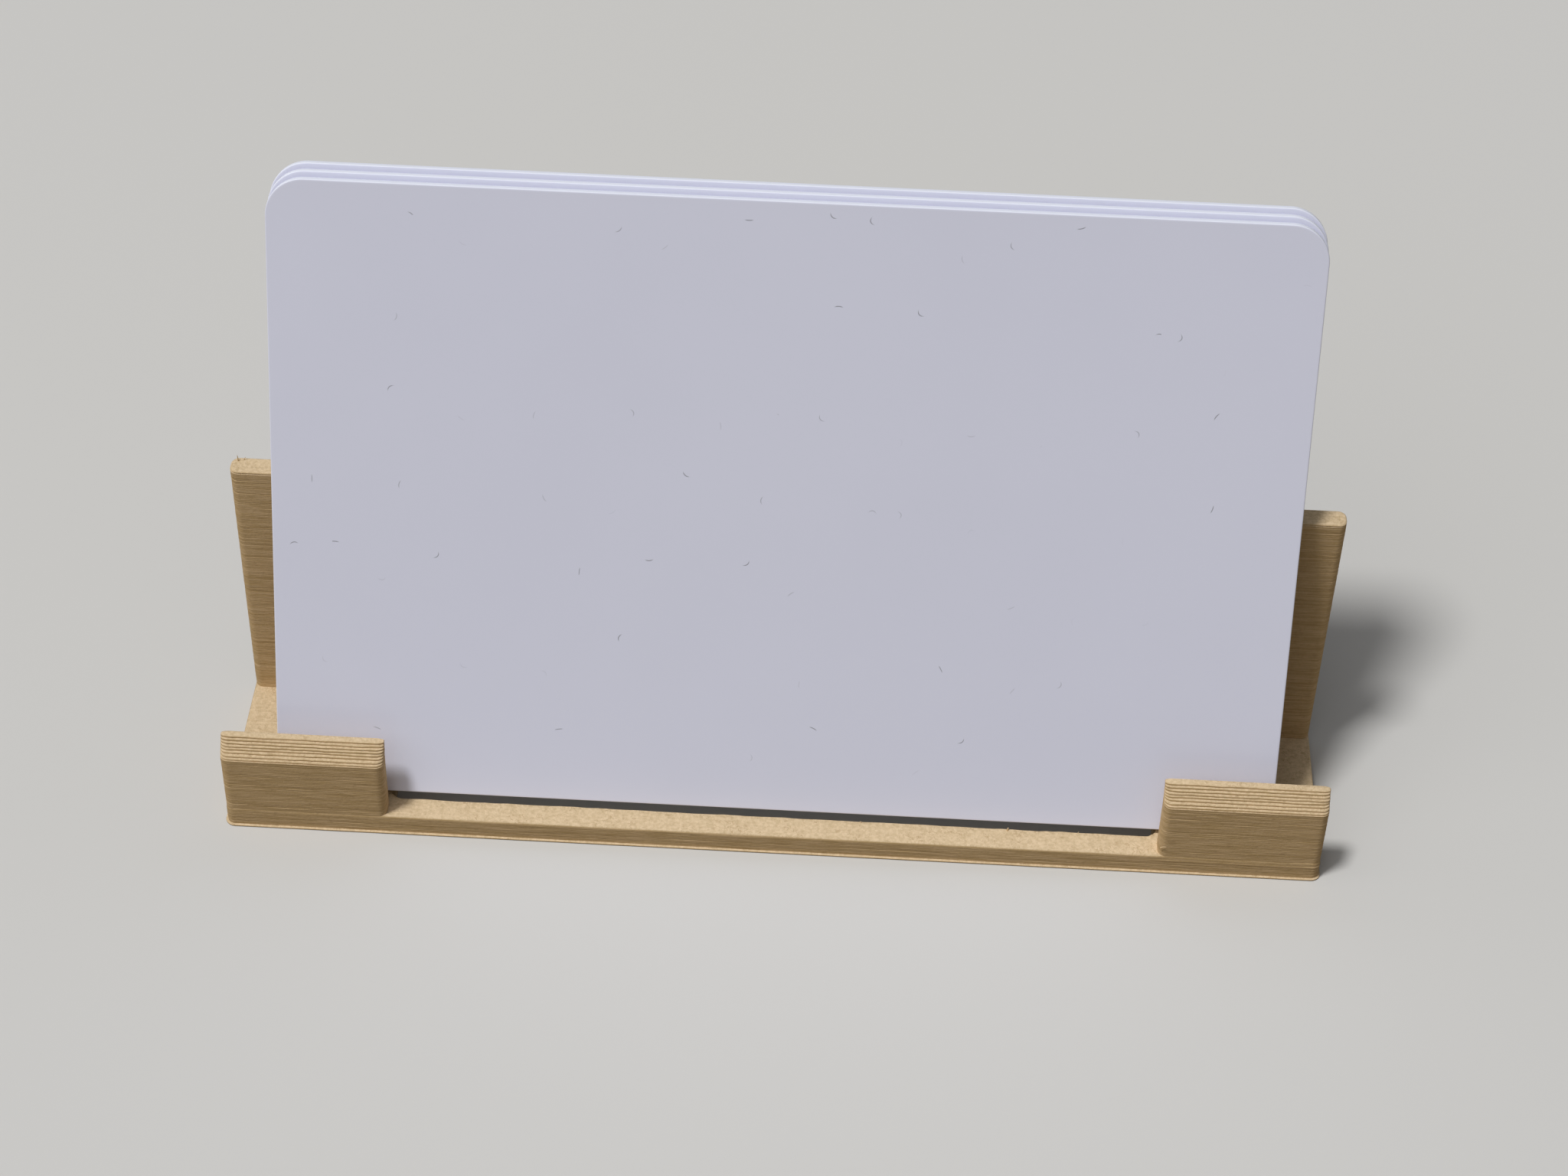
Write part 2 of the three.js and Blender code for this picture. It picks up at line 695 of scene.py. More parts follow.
    def top_paths(self, paint: Paint, tread: Socket) -> Socket:
        """Ridges that the nozzle leaves on level faces.

        Args:
            paint: the material's nodes.
            tread: one on level faces, zero on walls.

        Returns:
            Ridge height, zero on walls.
        """
        lines = paint.node(
            "TexWave",
            {"Scale": 1.0, "Distortion": self.path_waver, "Detail": 2.0, "Detail Scale": 0.5},
            wave_type="BANDS",
            bands_direction="Y",
            wave_profile="SIN",
        )
        # The node draws one band to every tenth of pi.
        bands_per_metre = math.pi / 10.0 / self.path_width
        paint.link(paint.place((bands_per_metre,) * 3), lines.inputs["Vector"])
        return paint.product(lines.outputs["Fac"], tread)


@dataclass(frozen=True)
class CardFinish:
    """Blank white card plastic: smooth, faintly glossy, rougher at its cut edges and painted whiter
    there as a highlight, with short scuffs.
    """

    lean: float
    face: Colour = (0.787, 0.789, 0.912, 1.0)
    face_shift: Colour = (0.776, 0.778, 0.900, 1.0)
    # Paler colour of the cut edges: a painted highlight along the rims.
    edge: Colour = (0.850, 0.862, 0.955, 1.0)
    scuff: Colour = (0.250, 0.250, 0.275, 1.0)
    roughness: Range = (0.17, 0.23)
    specular: float = 0.3

    # The haze clouds colour and gloss, the tooth is the fine relief of the plastic.
    haze: Grain = Grain(45.0, 45.0, 3.0, 0.55)
    haze_span: Range = (0.35, 0.65)
    tooth: Grain = Grain(2200.0, 2200.0, 2.0)
    tooth_height: float = 0.001 * MM

    # How far a surface looks along the card's normal where the cut edge turns into the face,
    # and how much rougher the cut edge is.
    flat_span: Range = (0.80, 0.97)
    edge_roughness: float = 0.45

    # Scuffs lie in cells, this far apart along a face and through the stack.
    scuff_spacing: float = 7.5 * MM
    sheet_spacing: float = 0.45 * MM

    # A scuff's reach to each side, its width, the shares of both at full strength, its bend,
    # and the random numbers over which scuffs grow to their full share.
    scuff_reach: float = 0.42 * MM
    scuff_width: float = 0.055 * MM
    scuff_body: float = 0.35
    scuff_core: float = 0.3
    scuff_bend: float = 14.0
    scuff_chance: Range = (0.3, 0.9)
    scuff_share: float = 0.85

    def material(self) -> bpy.types.Material:
        """Build the material: haze, scuffs and cut edges with their painted highlight, then gloss and
        relief.

        Returns:
            The material.
        """
        paint = Paint("card_plastic")
        shader = paint.shader
        haze = paint.grain(self.haze)
        out = Vector((0.0, -math.cos(self.lean), math.sin(self.lean)))
        flat = paint.remap(paint.math("ABSOLUTE", paint.facing(out)), self.flat_span)

        colour = paint.blend(paint.remap(haze, self.haze_span), self.face, self.face_shift)
        colour = paint.blend(self.scuffs(paint), colour, self.scuff)
        # The cut edges take the paler colour, a painted highlight along the rims.
        colour = paint.blend(flat, self.edge, colour)
        paint.link(colour, shader.inputs["Base Color"])
        rough_cut = paint.remap(flat, UNIT, (self.edge_roughness, 0.0))
        gloss = paint.remap(haze, MIDDLE, self.roughness)
        paint.link(paint.math("ADD", gloss, rough_cut), shader.inputs["Roughness"])
        shader.inputs["Specular IOR Level"].default_value = self.specular
        paint.link(paint.bump(paint.grain(self.tooth), self.tooth_height), shader.inputs["Normal"])
        return paint.material

    def scuffs(self, paint: Paint) -> Socket:
        """Short bent strokes, at most one to a cell of the face, each at its own angle.

        Args:
            paint: the material's nodes.

        Returns:
            Strength of the strokes.
        """
        per_cell = 1.0 / self.scuff_spacing
        place = paint.place((per_cell, 1.0 / self.sheet_spacing, per_cell), self.lean)
        cells = paint.node("TexVoronoi", {"Scale": 1.0}, voronoi_dimensions="3D", feature="F1")
        paint.link(place, cells.inputs["Vector"])
        local = paint.node("VectorMath", operation="SUBTRACT")
        paint.link(place, local.inputs[0])
        paint.link(cells.outputs["Position"], local.inputs[1])
        chance = paint.node("SeparateColor")
        paint.link(cells.outputs["Color"], chance.inputs["Color"])
        turned = paint.node("VectorRotate", rotation_type="Y_AXIS")
        paint.link(local.outputs["Vector"], turned.inputs["Vector"])
        paint.link(paint.product(chance.outputs["Red"], math.tau), turned.inputs["Angle"])
        axes = paint.node("SeparateXYZ")
        paint.link(turned.outputs["Vector"], axes.inputs["Vector"])
        along, across = axes.outputs["X"], axes.outputs["Z"]

        reach = self.scuff_reach * per_cell
        width = self.scuff_width * per_cell
        bends = (-self.scuff_bend, self.scuff_bend)
        bend = paint.remap(chance.outputs["Green"], UNIT, bends, smooth=False)
        away = paint.math("SUBTRACT", across, paint.product(along, along, bend))
        thin = paint.remap(paint.math("ABSOLUTE", away), (self.scuff_core * width, width), FALLING)
        short = paint.remap(paint.math("ABSOLUTE", along), (self.scuff_body * reach, reach), FALLING)
        present = paint.remap(chance.outputs["Blue"], self.scuff_chance, (0.0, self.scuff_share))
        return paint.product(thin, short, present)


class Draw(Enum):
    """Series of random numbers, with one number to a layer in each."""

    GROOVE = 0
    STEP = 2

    def of(self, layer: int) -> float:
        """Random number of a layer, between -1 and 1, all equally likely."""
        return noise.cell(Vector((layer + 0.5, self.value + 0.5, 0.5)))


@dataclass(frozen=True)
class Waver:
    """Smooth random swing along each printed layer, different from one layer to the next."""

    per_metre: float
    per_layer: float
    start: float = 0.0

    def on_wall(self, place: Vector, layer: int) -> float:
        """Swing at a place on a wall of any direction."""
        level = place * self.per_metre
        return noise.noise(Vector((level.x, level.y, layer * self.per_layer + self.start)))

    def on_slope(self, place: Vector, layer: int) -> float:
        """Swing at a place on a lip's slope, the same across the depth of a step."""
        return noise.noise(Vector((place.x * self.per_metre, layer * self.per_layer, self.start)))


@dataclass(frozen=True)
class StrayHair:
    """Short thread of filament that stands out of the print and tapers to its bent tip."""

    root: Vector
    reach: Vector
    width: float
    sides: int = 7
    spans: int = 6
    taper: float = 0.86
    first_lean: float = 0.4
    added_lean: float = 1.2

    def build(self) -> Bench:
        """Draw a small disc out along the thread, span by span.

        Returns:
            The bench that holds the hair.
        """
        bench = Bench("stray_hair").disc(self.root, self.width / 2, self.sides)
        bench.pick_all(Pick.FACE)
        step = self.reach / self.spans
        for span in range(self.spans):
            # The tip leans further over than the root.
            over = self.first_lean + self.added_lean * span / (self.spans - 1)
            move = Vector((step.x * over, step.y * over, step.z))
            bpy.ops.mesh.extrude_region_move(TRANSFORM_OT_translate={"value": move})
            bpy.ops.transform.resize(value=(self.taper, self.taper, 1.0))
        bench.face_out()
        return bench


@dataclass
class PrintedHolder:
    """The printed frame: floor with a window, two front lips with stepped slopes, two rear posts."""

    node: str = "holder_frame"
    body: str = "holder"
    slot: str = "printed_wood"

    # Sizes within the outer box of the node.
    floor_thickness: float = 2.0 * MM
    bar_depth: float = 2.2 * MM
    post_thickness: float = 2.0 * MM
    end_length: float = 14.0 * MM
    lip_height: float = 9.4 * MM
    lip_slope: float = 1.6 * MM
    upright_radius: float = 0.7 * MM
    window_radius: float = 1.1 * MM

    # Fineness of the mesh: corners and rims, spans of a layer, points along floor, lips and posts.
    corner_segments: int = 6
    rim_segments: int = 4
    spans_per_layer: int = 3
    floor_step: float = 0.6 * MM
    lip_step: float = 0.4 * MM
    post_step: float = 2.0 * MM
    crisp_angle: float = 42.0

    # Grooves between layers. Those whose random number passes deep_from are the deep ones.
    groove: float = 0.012 * MM
    deep_groove: float = 0.024 * MM
    deep_from: float = 0.6
    top_groove: float = 0.07 * MM

    # The first layer bulges out, and one layer stands proud at the right end.
    foot_squeeze: float = 0.17 * MM
    proud: float = 0.03 * MM
    proud_layer: int = 7

    # Upper edges: how round they are away from the window and at it, and the line left around the fill.
    round_profile: float = 0.5
    crisp_profile: float = 0.85
    rim_width: float = 0.3 * MM
    rim_height: float = 0.03 * MM

    # What stands on the floor is a hair smaller, so that no two walls lie in one plane.
    shy: float = 0.03 * MM

    # One layer of a slope: a tread that ends in a groove, then a bead with a rounded nose.
    # Each row is a rise, as a share of the layer, and how far the outline then lies in, in millimetres.
    bead: tuple[Range, ...] = (
        (0.0, 0.05),
        (0.2, 0.008),
        (0.25, 0.0),
        (0.25, 0.02),
        (0.18, 0.055),
        (0.12, 0.11),
    )
    step_drift: float = 0.06 * MM

    # How far walls and slopes wander, and the swings that they follow.
    wobble: float = 0.016 * MM
    wander: Waver = Waver(330.0, 1.7)
    sag: Waver = Waver(240.0, 0.9, 50.0)
    ripple_depth: float = 0.03575 * MM
    ripple: Waver = Waver(520.0, 3.7, 20.0)
    crease_depth: float = 0.0275 * MM
    crease: Waver = Waver(1700.0, 5.1, 40.0)
    dip_depth: float = 0.022 * MM
    dip: Waver = Waver(700.0, 2.3, 60.0)

    # The bar's edge at the window: how far it stands out and frays, and its fray's repeats per metre.
    fuzz: float = 0.08 * MM
    fuzz_bulge: float = 0.9
    coarse_fray: float = 420.0
    fine_fray: float = 1500.0
    fine_fray_share: float = 0.6

    # Threads and blobs that the nozzle left on the post, the lip and the bar, in millimetres:
    # root, from the stand's middle, its front face and the table, then reach, then width.
    hairs: tuple[tuple[Triple, Triple, float], ...] = (
        ((-46.45, 16.6, 27.1), (-0.05, 0.05, 0.62), 0.13),
        ((-46.0, 16.75, 27.1), (0.18, 0.02, 0.40), 0.08),
        ((33.25, 0.02, 3.05), (0.42, -0.16, 0.26), 0.12),
        ((20.25, 2.08, 1.85), (0.06, 0.10, 0.38), 0.26),
        ((26.2, 2.05, 1.8), (0.20, 0.24, 0.30), 0.12),
        ((7.8, 2.08, 1.85), (-0.22, 0.10, 0.26), 0.16),
    )

    def __post_init__(self) -> None:
        """Take the outer sizes from the frame."""
        low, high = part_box(self.node)
        self.plan = Rect(low.x, low.y, high.x, high.y)
        self.table = low.z
        self.floor_top = low.z + self.floor_thickness
        # Lips and posts are rooted where the floor's rounded rim starts.
        self.root = self.floor_top - LAYER
        self.slope_foot = low.z + self.lip_height - self.lip_slope
        self.post_top = high.z
        self.window = Rect(
            low.x + self.end_length,
            low.y + self.bar_depth,
            high.x - self.end_length,
            high.y - self.post_thickness,
        )
        self.near = LAYER / 20

    @staticmethod
    def layers(height: float) -> int:
        """Number of printed layers in a height."""
        return round(height / LAYER)

    def end_plan(self, y0: float, y1: float) -> Rect:
        """Plan of what stands on the right end of the floor.

        Args:
            y0: its front.
            y1: its back.

        Returns:
            The plan, a hair smaller than the floor under it.
        """
        return Rect(self.window.x1, y0, self.plan.x1, y1).inset(self.shy)

    def at(self, vertex: bmesh.types.BMVert, height: float) -> bool:
        """Whether a point lies at a height."""
        return abs(vertex.co.z - height) < self.near

    def all_at(self, part: bmesh.types.BMEdge | bmesh.types.BMFace, height: float) -> bool:
        """Whether an edge or a face lies level at a height."""
        return all(self.at(vertex, height) for vertex in part.verts)

    def at_window(self, vertex: bmesh.types.BMVert) -> bool:
        """Whether a point lies on the window's edge or inside it."""
        across = self.window.x0 - self.near < vertex.co.x < self.window.x1 + self.near
        return across and self.window.y0 - self.near < vertex.co.y < self.window.y1 + self.near

    def cut_layers(self, bench: Bench, low: float, high: float) -> None:
        """Cut the walls between two heights into layers, and each layer into its spans."""
        bench.cut_uprights(self.layers(high - low) * self.spans_per_layer, high)

    def groove_walls(self, bench: Bench, low: float, high: float) -> None:
        """Press the line between each two layers into the walls, some deeper than others.

        Args:
            bench: the mesh.
            low: bottom of the walls.
            high: top of the walls.
        """
        slack = 0.2  # of a layer

        def on_line(vertex: bmesh.types.BMVert, deep: bool) -> bool:
            """Whether a wall point lies in a groove.

            Args:
                vertex: the point.
                deep: whether deep grooves are meant, or the others.

            Returns:
                True for a groove of that kind, strictly between bottom and top.
            """
            height = vertex.co.z
            layer = round(height / LAYER)
            inside = low + slack * LAYER < height < high - slack * LAYER
            on_groove = inside and abs(height / LAYER - layer) < slack
            return on_groove and deep == (Draw.GROOVE.of(layer) >= self.deep_from)

        bench.face_out()
        bench.swell(-self.groove, lambda vertex: on_line(vertex, deep=False))
        bench.swell(-self.deep_groove, lambda vertex: on_line(vertex, deep=True))

    def round_top(self, bench: Bench, height: float) -> None:
        """Round the upper edges of a block by one layer, and those of the window less than the rest.

        Args:
            bench: the mesh.
            height: Z of the top.
        """
        steep = 0.5  # a wall looks up by less than this

        def rim(edge: bmesh.types.BMEdge, inner: bool) -> bool:
            """Whether an edge lies between a wall and the top.

            Args:
                edge: the edge.
                inner: whether edges at the window are meant, or those away from it.

            Returns:
                True for an upper edge of that kind.
            """
            wall = any(abs(face.normal.z) < steep for face in edge.link_faces)
            beside = inner == all(self.at_window(vertex) for vertex in edge.verts)
            return wall and beside and self.all_at(edge, height)

        bench.face_out()
        for inner, profile in ((False, self.round_profile), (True, self.crisp_profile)):
            if bench.pick(Pick.EDGE, lambda edge: rim(edge, inner)):
                bpy.ops.mesh.bevel(
                    offset=LAYER,
                    segments=self.rim_segments,
                    profile=profile,
                    affect="EDGES",
                    clamp_overlap=False,
                )

    def raise_rim(self, bench: Bench, height: float) -> None:
        """Sink the fill of a level top a little below its outer line.

        Args:
            bench: the mesh.
            height: Z of the top.
        """
        bench.pick(Pick.FACE, lambda face: self.all_at(face, height))
        bpy.ops.mesh.inset(thickness=self.rim_width, depth=-self.rim_height)

    def ring(self, name: str, rect: Rect, radius: float, cuts: tuple[int, int], height: float) -> Bench:
        """Open ring of edges with round corners and points along its sides.

        Args:
            name: name of the mesh.
            rect: its rectangle.
            radius: of its corners.
            cuts: points added along X and along Y.
            height: its Z.

        Returns:
            The bench that holds it.
        """
        bench = Bench(name).plane(rect, height)
        bench.round_corners(radius, self.corner_segments)
        bench.pick_all(Pick.FACE)
        bpy.ops.mesh.delete(type="ONLY_FACE")
        bench.cut_sides(*cuts, shortest=radius)
        return bench

    def block(self, name: str, rect: Rect, high: float, step: float) -> Bench:
        """Upright block with round corners, rooted one layer deep in the floor.

        Args:
            name: name of the mesh.
            rect: its plan.
            high: Z of its top.
            step: distance of the points along its long sides.

        Returns:
            The bench that holds it.
        """
        cuts = (int(rect.size.x / step), 1)
        bench = self.ring(name, rect, self.upright_radius, cuts, self.root)
        bench.pick_all(Pick.EDGE)
        bpy.ops.mesh.edge_face_add()
        bench.pick_all(Pick.FACE)
        bench.extrude(high - self.root)
        return bench

    def build_floor(self) -> Bench:
        """Floor plate: two rings bridged, raised, cut into layers and squeezed out at the foot.

        Returns:
            The bench that holds it.
        """
        cuts = (int(self.plan.size.x / self.floor_step), int(self.plan.size.y / self.floor_step))
        bench = self.ring("stand_floor", self.plan, self.upright_radius, cuts, self.table)
        window = self.ring("stand_window", self.window, self.window_radius, cuts, self.table)
        window.finish()
        bench.activate()
        window.object.select_set(True)
        bpy.ops.object.join()
        bench.pick_all(Pick.EDGE)
        bpy.ops.mesh.bridge_edge_loops()
        bench.pick_all(Pick.FACE)
        bench.extrude(self.floor_thickness)
        self.round_top(bench, self.floor_top)
        self.cut_layers(bench, self.table, self.root)
        self.groove_walls(bench, self.table, self.floor_top)
        # The first layer is pressed onto the plate and bulges out above its own lower edge.
        bench.swell(
            self.foot_squeeze,
            lambda vertex: self.near < vertex.co.z - self.table < LAYER - self.near,
        )
        self.raise_rim(bench, self.floor_top)
        return bench

    def build_post(self) -> Bench:
        """Right rear post: a layered upright with a rounded rim over one deeper line.

        Returns:
            The bench that holds it.
        """
        rect = self.end_plan(self.window.y1, self.plan.y1)
        bench = self.block("stand_post", rect, self.post_top, self.post_step)
        self.round_top(bench, self.post_top)
        wall_top = self.post_top - LAYER
        self.cut_layers(bench, self.root, wall_top)
        self.groove_walls(bench, self.root, wall_top)
        bench.swell(-self.top_groove, lambda vertex: self.at(vertex, wall_top))
        self.raise_rim(bench, self.post_top)
        return bench

    def build_lip(self) -> Bench:
        """Right front lip: a layered upright whose front edge steps back one layer at a time.

        Returns:
            The bench that holds it.
        """
        rect = self.end_plan(self.plan.y0, self.window.y0)
        bench = self.block("stand_lip", rect, self.slope_foot, self.lip_step)
        self.cut_layers(bench, self.root, self.slope_foot)
        self.groove_walls(bench, self.root, self.slope_foot)
        bench.pick(Pick.FACE, lambda face: self.all_at(face, self.slope_foot))
        steps = self.layers(self.lip_slope)
        now = rect
        for step in range(steps):
            drift = self.step_drift * (Draw.STEP.of(step) - 0.5)
            front = (step + 0.5) * self.lip_slope / steps + drift
            for rise, inset in self.bead:
                wanted = rect.inset(inset * MM, front)
                bench.extrude_to(rise * LAYER, now, wanted)
                now = wanted
        bench.face_out()
        return bench

    def wall_shift(self, place: Vector, normal: Vector, layer: int) -> Vector:
        """How a point moves as its layer wanders in and out, and up and down.

        Args:
            place: the point.
            normal: of the surface there.
            layer: number of its layer.

        Returns:
            The move. The first layer doesn't leave the table.
        """
        out = self.wobble * self.wander.on_wall(place, layer)
        if layer == self.proud_layer and place.x > self.window.x1:
            out += self.proud
        upright = 1.0 - normal.z**2
        rise = self.wobble * self.sag.on_wall(place, layer) * upright * min(1.0, layer)
        return Vector((normal.x * out, normal.y * out, rise))

    def slope_shift(self, place: Vector, layer: int) -> Vector:
        """How a point on a lip's slope moves with the ripples of its bead.

        Args:
            place: the point.
            layer: number of its layer.

        Returns:
            The move, none away from the slopes.
        """
        back = self.plan.y0 + self.lip_slope + self.rim_width
        if place.z <= self.slope_foot or place.y >= back:
            return Vector()
        ripple = self.ripple_depth * self.ripple.on_slope(place, layer)
        crease = self.crease_depth * self.crease.on_slope(place, layer)
        return Vector((0.0, ripple + crease, self.dip_depth * self.dip.on_slope(place, layer)))

    def fray_shift(self, place: Vector) -> Vector:
        """How a point on the bar's edge at the window stands out and frays.

        Args:
            place: the point.

        Returns:
            The move, none away from that edge.
        """
        behind = abs(place.y - self.window.y0) < LAYER and abs(place.x) < self.window.x1
        if not behind or abs(place.z - self.floor_top) >= LAYER:
            return Vector()
        fine = self.fine_fray_share * noise.noise(place * self.fine_fray)
        fray = noise.noise(place * self.coarse_fray) + fine
        return Vector((0.0, self.fuzz * (self.fuzz_bulge + fray), 0.0))

    def roughen(self, bench: Bench) -> None:
        """Let every layer wander a little, ripple the slopes and fray the bar's edge at the window.

        Args:
            bench: the finished mesh.
        """
        slack = 0.02  # of a layer
        mesh = bench.finish().data
        normals = [vertex.normal.copy() for vertex in mesh.vertices]
        for vertex, normal in zip(mesh.vertices, normals):
            place = vertex.co.copy()
            layer = math.floor((place.z - self.table) / LAYER + slack)
            vertex.co += self.wall_shift(place, normal, layer)
            vertex.co += self.slope_shift(place, layer)
            vertex.co += self.fray_shift(place)

    def build_hairs(self) -> list[Bench]:
        """Build every stray hair where it is rooted in the print.

        Returns:
            The benches that hold them.
        """
        corner = Vector((0.0, self.plan.y0, self.table))
        return [
            StrayHair(corner + Vector(root) * MM, Vector(reach) * MM, width * MM).build()
            for root, reach, width in self.hairs
        ]

    def build(self, finish: bpy.types.Material) -> bpy.types.Object:
        """Model the frame, give it its finish and hang it on its body.

        Args:
            finish: material of the print.

        Returns:
            The finished piece.
        """
        bench = self.build_floor()
        bench.face_out()
        for upright in (self.build_lip(), self.build_post()):
            bench.unite([upright.mirrored(upright.name + "_left"), upright])
        self.roughen(bench)
        bench.unite(self.build_hairs())
        bench.shade(self.crisp_angle)
        piece = bench.object
        piece.name = "printed_stand"
        piece.data.name = piece.name
        piece.data.materials.clear()
        piece.data.materials.append(finish)
        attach(piece, self.body)
        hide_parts(self.node)
        return piece


@dataclass
class CardStack:
    """Blank cards with fine rounded edges, one modelled and copied to where each node stands."""

    nodes: list[str]
    lean: float
    slot: str = "card_plastic"
    corner_radius: float = 3.18 * MM
    corner_segments: int = 16
    edge_radius: float = 0.09 * MM
    edge_segments: int = 4
    crisp_angle: float = 40.0

    def __post_init__(self) -> None:
        """Work out the size of a card from the first node's box."""
        low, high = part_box(self.nodes[0])
        sine, cosine = math.sin(self.lean), math.cos(self.lean)
        reach = high - low
        spread = cosine**2 - sine**2
        self.width = reach.x
        self.thickness = (cosine * reach.y - sine * reach.z) / spread
        self.height = (cosine * reach.z - sine * reach.y) / spread

    def build_blank(self) -> bpy.types.Object:
        """Model one card lying flat.

        Returns:
            The card, with its lower rear edge along the X axis.
        """
        rect = Rect(-self.width / 2, 0.0, self.width / 2, self.height)
        bench = Bench("blank_card").plane(rect, 0.0)
        bench.round_corners(self.corner_radius, self.corner_segments)
        bench.pick_all(Pick.FACE)
        bench.extrude(self.thickness)
        bench.face_out()
        bench.pick(
            Pick.EDGE,
            lambda edge: abs(edge.verts[0].co.z - edge.verts[1].co.z) < self.thickness / 2,
        )
        bpy.ops.mesh.bevel(offset=self.edge_radius, segments=self.edge_segments, affect="EDGES")
        # A narrow border keeps the rounding of the edges out of the shading of the flat faces,
        # which are the only ones with more than four corners.
        bench.pick(Pick.FACE, lambda face: len(face.verts) > 4)
        bpy.ops.mesh.inset(thickness=self.edge_radius)
        bench.shade(self.crisp_angle)
        return bench.object

    def stand_up(self, blank: bpy.types.Object, node: str) -> bpy.types.Object:
        """Copy the flat card and stand the copy where a node stands.

        Args:
            blank: the flat card.
            node: name of the node.

        Returns:
            The copy, with its own mesh.
        """
        low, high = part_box(node)
        foot = Vector(((low.x + high.x) / 2, low.y + self.thickness * math.cos(self.lean), low.z))
        piece = blank.copy()
        piece.data = blank.data.copy()
        piece.name = "blank_" + node
        piece.data.name = piece.name
        bpy.context.scene.collection.objects.link(piece)
        upright = Matrix.Rotation(math.pi / 2 - self.lean, 4, "X")
        piece.data.transform(Matrix.Translation(foot) @ upright)
        return piece

    def build(self, finish: bpy.types.Material) -> list[bpy.types.Object]:
        """Model one card, copy it to every node and hang each copy on its body.

        Args:
            finish: material of the cards.

        Returns:
            The finished cards.
        """
        blank = self.build_blank()
        blank.data.materials.clear()
        blank.data.materials.append(finish)
        cards = [self.stand_up(blank, node) for node in self.nodes]
        bpy.data.objects.remove(blank)
        for card, node in zip(cards, self.nodes):
            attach(card, node)
            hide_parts(node)
        return cards


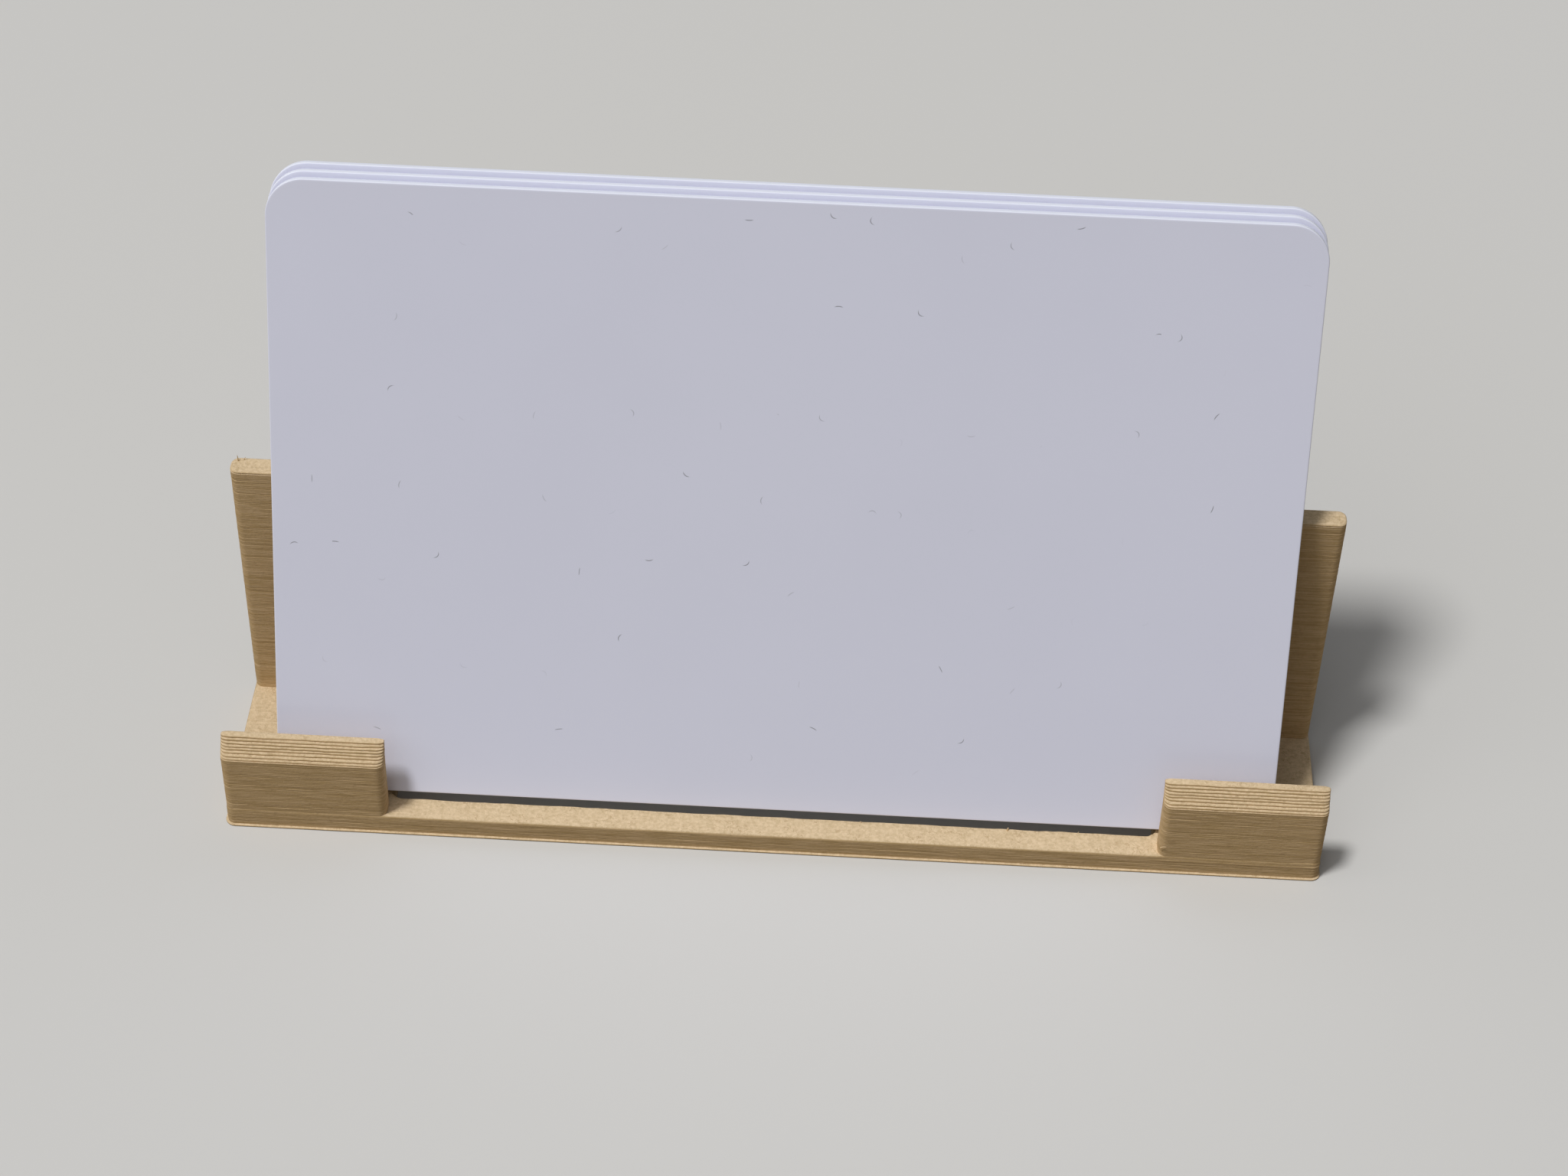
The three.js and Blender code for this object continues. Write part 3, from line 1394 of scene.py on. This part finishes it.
@dataclass
class Studio:
    """Plain pale floor, a key lamp and a wide soft one at the front left, weak surround, camera."""

    # Camera: place, angles in degrees, focal length and nearest distance seen.
    camera_place: Triple = (6.577 * MM, -201.613 * MM, 204.230 * MM)
    camera_pitch: float = 42.445
    camera_yaw: float = -1.828
    camera_roll: float = 1.590
    camera_lens: float = 74.04
    camera_near: float = 0.01

    # Lamps: angles in degrees, counted from the front round to the left and up from the floor.
    key_azimuth: float = 56.0
    key_elevation: float = 68.0
    key_spread: float = 9.8
    key_strength: float = 2.05
    fill_azimuth: float = 45.0
    fill_elevation: float = 55.0
    fill_distance: float = 1.4
    fill_size: float = 1.6
    fill_power: float = 5.2
    lamp_tint: Triple = (0.97, 0.985, 1.0)

    # Surroundings. Floor and backdrop look paler than the light that they throw back.
    surround: float = 0.15
    surround_tint: Colour = (0.92, 0.96, 1.0, 1.0)
    backdrop: Colour = (0.60, 0.595, 0.585, 1.0)
    floor_size: float = 6.0
    floor_seen: Colour = (0.64, 0.62, 0.59, 1.0)
    floor_bounce: Colour = (0.250, 0.208, 0.158, 1.0)
    floor_roughness: float = 0.9
    floor_specular: float = 0.1

    def build_camera(self) -> None:
        """Camera at the photograph's angle."""
        data = bpy.data.cameras.new("camera")
        data.lens = self.camera_lens
        data.clip_start = self.camera_near
        camera = bpy.data.objects.new("camera", data)
        bpy.context.scene.collection.objects.link(camera)
        camera.matrix_world = (
            Matrix.Translation(self.camera_place)
            @ Matrix.Rotation(-math.radians(self.camera_yaw), 4, "Z")
            @ Matrix.Rotation(math.radians(90.0 - self.camera_pitch), 4, "X")
            @ Matrix.Rotation(math.radians(self.camera_roll), 4, "Z")
        )
        bpy.context.scene.camera = camera

    def hang(self, data: bpy.types.Light, place: Vector) -> None:
        """Hang a lamp at a place, looking at the stand.

        Args:
            data: the lamp.
            place: where it hangs.
        """
        data.color = self.lamp_tint
        lamp = bpy.data.objects.new(data.name, data)
        lamp.location = place
        lamp.rotation_euler = place.to_track_quat("Z", "Y").to_euler()
        bpy.context.scene.collection.objects.link(lamp)

    @staticmethod
    def towards(azimuth: float, elevation: float) -> Vector:
        """Direction from the stand to a lamp.

        Args:
            azimuth: degrees from the front round to the left.
            elevation: degrees above the floor.

        Returns:
            A unit vector.
        """
        turn, rise = math.radians(azimuth), math.radians(elevation)
        level = math.cos(rise)
        return Vector((-math.sin(turn) * level, -math.cos(turn) * level, math.sin(rise)))

    def build_lamps(self) -> None:
        """Key light from far away at the front left, and a wide weak lamp on the same side."""
        key = bpy.data.lights.new("key", "SUN")
        key.angle = math.radians(self.key_spread)
        key.energy = self.key_strength
        self.hang(key, self.towards(self.key_azimuth, self.key_elevation))
        fill = bpy.data.lights.new("fill", "AREA")
        fill.shape = "DISK"
        fill.size = self.fill_size
        fill.energy = self.fill_power
        self.hang(fill, self.towards(self.fill_azimuth, self.fill_elevation) * self.fill_distance)

    @staticmethod
    def seen(tree: bpy.types.NodeTree) -> Socket:
        """Whether a ray comes from the camera or from a mirror-like surface.

        Args:
            tree: the nodes of a material or of the world.

        Returns:
            One for such rays, and zero for the rest.
        """
        path = tree.nodes.new("ShaderNodeLightPath")
        shown = path.outputs["Is Camera Ray"]
        for ray in ("Is Glossy Ray", "Is Transmission Ray"):
            either = tree.nodes.new("ShaderNodeMath")
            either.operation = "MAXIMUM"
            tree.links.new(shown, either.inputs[0])
            tree.links.new(path.outputs[ray], either.inputs[1])
            shown = either.outputs[0]
        return shown

    def build_world(self) -> None:
        """Even weak light from all round, behind a pale backdrop colour."""
        world = bpy.data.worlds.new("surround")
        bpy.context.scene.world = world
        world.use_nodes = True
        tree = world.node_tree
        light = tree.nodes["Background"]
        light.inputs["Color"].default_value = self.surround_tint
        light.inputs["Strength"].default_value = self.surround
        shown = tree.nodes.new("ShaderNodeBackground")
        shown.inputs["Color"].default_value = self.backdrop
        mix = tree.nodes.new("ShaderNodeMixShader")
        for number, source in enumerate((self.seen(tree), light.outputs[0], shown.outputs[0])):
            tree.links.new(source, mix.inputs[number])
        tree.links.new(mix.outputs[0], tree.nodes["World Output"].inputs["Surface"])

    def build_floor(self) -> None:
        """Plain floor under the stand."""
        Bench.clear_selection()
        bpy.ops.mesh.primitive_plane_add(size=self.floor_size)
        floor = bpy.context.object
        floor.name = "floor"
        paint = Paint("floor")
        colour = paint.blend(self.seen(paint.tree), self.floor_bounce, self.floor_seen)
        paint.link(colour, paint.shader.inputs["Base Color"])
        paint.shader.inputs["Roughness"].default_value = self.floor_roughness
        paint.shader.inputs["Specular IOR Level"].default_value = self.floor_specular
        floor.data.materials.append(paint.material)

    def build(self) -> None:
        """Set up the camera, the light and the floor."""
        bpy.context.scene.view_settings.view_transform = "Standard"
        self.build_camera()
        self.build_lamps()
        self.build_world()
        self.build_floor()


def card_lean() -> float:
    """Angle of the cards from upright, from the axis that they lift along."""
    axis = Vector(frame["joints"][0]["axis"])
    return math.atan2(axis.y, axis.z)


def report(piece: bpy.types.Object) -> None:
    """Log one finished piece."""
    triangles = sum(len(face.vertices) - 2 for face in piece.data.polygons)
    LOG.info("%s: %d triangles", piece.name, triangles)


def main() -> None:
    """Build the studio, the printed stand and its cards."""
    logging.basicConfig(level=logging.INFO, format="%(name)s %(message)s")
    Studio().build()
    report(PrintedHolder().build(PrintedWoodFinish().material()))
    lean = card_lean()
    nodes = [joint["child"] for joint in frame["joints"]]
    for card in CardStack(nodes, lean).build(CardFinish(lean).material()):
        report(card)


if __name__ == "__main__":
    main()
